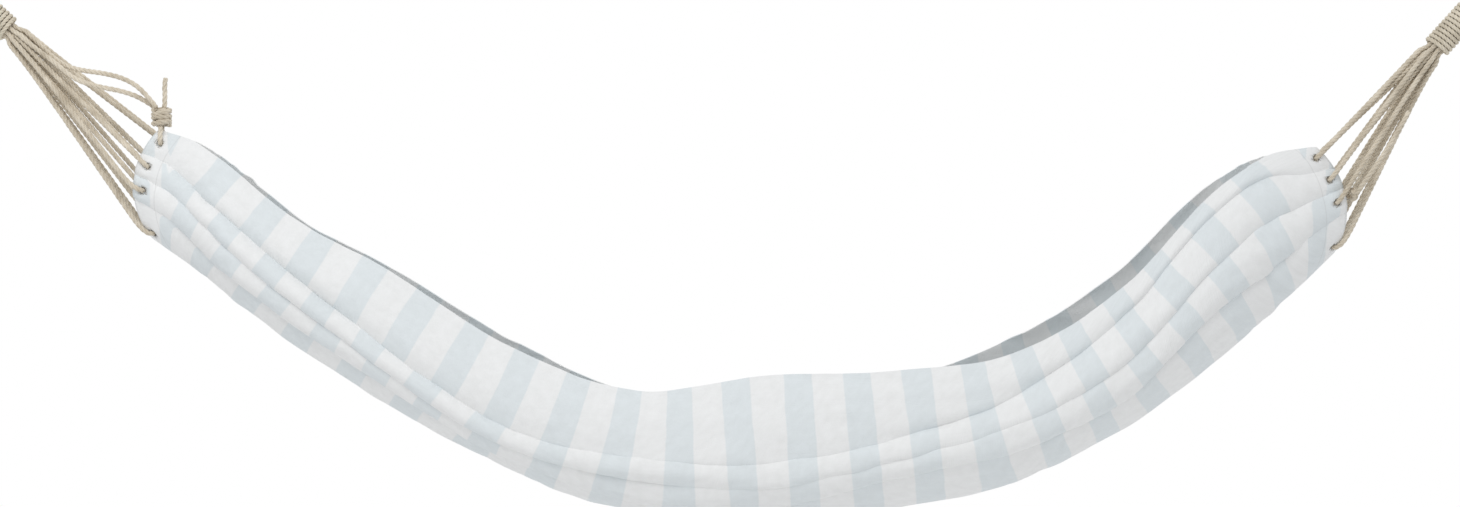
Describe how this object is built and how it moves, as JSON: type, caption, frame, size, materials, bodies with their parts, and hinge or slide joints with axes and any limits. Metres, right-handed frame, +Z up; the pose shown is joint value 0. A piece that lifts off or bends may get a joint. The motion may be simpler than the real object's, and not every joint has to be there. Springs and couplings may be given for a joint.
{
  "type": "hammock",
  "caption": "Striped cotton sling hammock hung empty by cord eyes, with whipped necks and doubled cords tied through hem eyelets.",
  "frame": {"origin": "middle of the left hanging eye's bend, where its hook bears", "axes": "+X runs level from the left eye to the right eye, +Z is up, -Y faces the viewer of the picture"},
  "size_m": [2.3621, 0.2385, 0.8509],
  "materials": {
    "striped_cotton": "plain weave, white with pale blue-grey cross stripes",
    "cotton_cord": "braided natural cotton",
    "whipping_cord": "wound natural cotton",
    "eyelet_metal": "dull nickel"
  },
  "bodies": {
    "hooked_eyes": {"left_hanging_eye": "cotton_cord", "right_hanging_eye": "cotton_cord"},
    "bed": {"hammock_cloth": "striped_cotton", "left_cord_2": "cotton_cord", "left_cord_3": "cotton_cord", "left_cord_4": "cotton_cord", "left_cord_5": "cotton_cord", "left_cord_6": "cotton_cord", "left_cord_7": "cotton_cord", "left_cord_8": "cotton_cord", "left_corner_bight": "cotton_cord", "left_corner_cord_lower": "cotton_cord", "left_corner_cord_upper": "cotton_cord", "left_corner_knot": "cotton_cord", "left_corner_tail": "cotton_cord", "left_eyelet_washers": "eyelet_metal", "left_eyelets": "eyelet_metal", "left_neck": "cotton_cord", "left_whipping": "whipping_cord", "right_cord_1": "cotton_cord", "right_cord_2": "cotton_cord", "right_cord_3": "cotton_cord", "right_cord_4": "cotton_cord", "right_cord_5": "cotton_cord", "right_cord_6": "cotton_cord", "right_cord_7": "cotton_cord", "right_cord_8": "cotton_cord", "right_eyelet_washers": "eyelet_metal", "right_eyelets": "eyelet_metal", "right_hem_knot": "cotton_cord", "right_hem_tail": "cotton_cord", "right_neck": "cotton_cord", "right_whipping": "whipping_cord"}
  },
  "joints": [
    {"name": "swing", "type": "hinge", "parent": "hooked_eyes", "child": "bed", "pos_m": [0.05147, 0, -0.047], "axis": [1, 0, 0], "range_deg": [-40, 40]}
  ]
}
